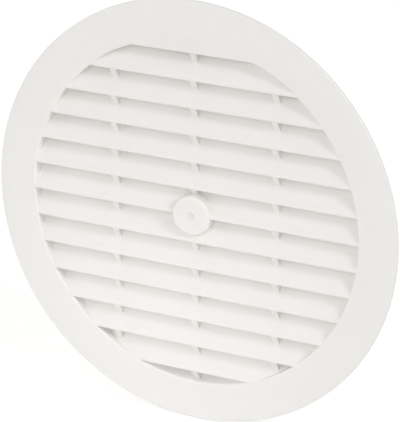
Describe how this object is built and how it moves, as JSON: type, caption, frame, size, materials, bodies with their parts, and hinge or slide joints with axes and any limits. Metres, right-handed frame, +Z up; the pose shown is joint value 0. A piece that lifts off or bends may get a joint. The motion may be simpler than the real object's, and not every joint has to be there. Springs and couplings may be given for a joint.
{
  "type": "vent cover",
  "caption": "Round louvred vent cover with a flat flange, sloping slats tied by upright ribs, a small boss at the centre and a collar behind that goes into a wall duct.",
  "frame": {"origin": "centre of the flange's back face, on the collar's axis", "axes": "+Z up, the louvred face looks along -Y and the collar runs along +Y into the duct"},
  "size_m": [0.15, 0.0222, 0.15],
  "materials": {
    "white_plastic": "white, satin, as moulded"
  },
  "bodies": {
    "root": {"vent_cover": "white_plastic"}
  },
  "joints": []
}
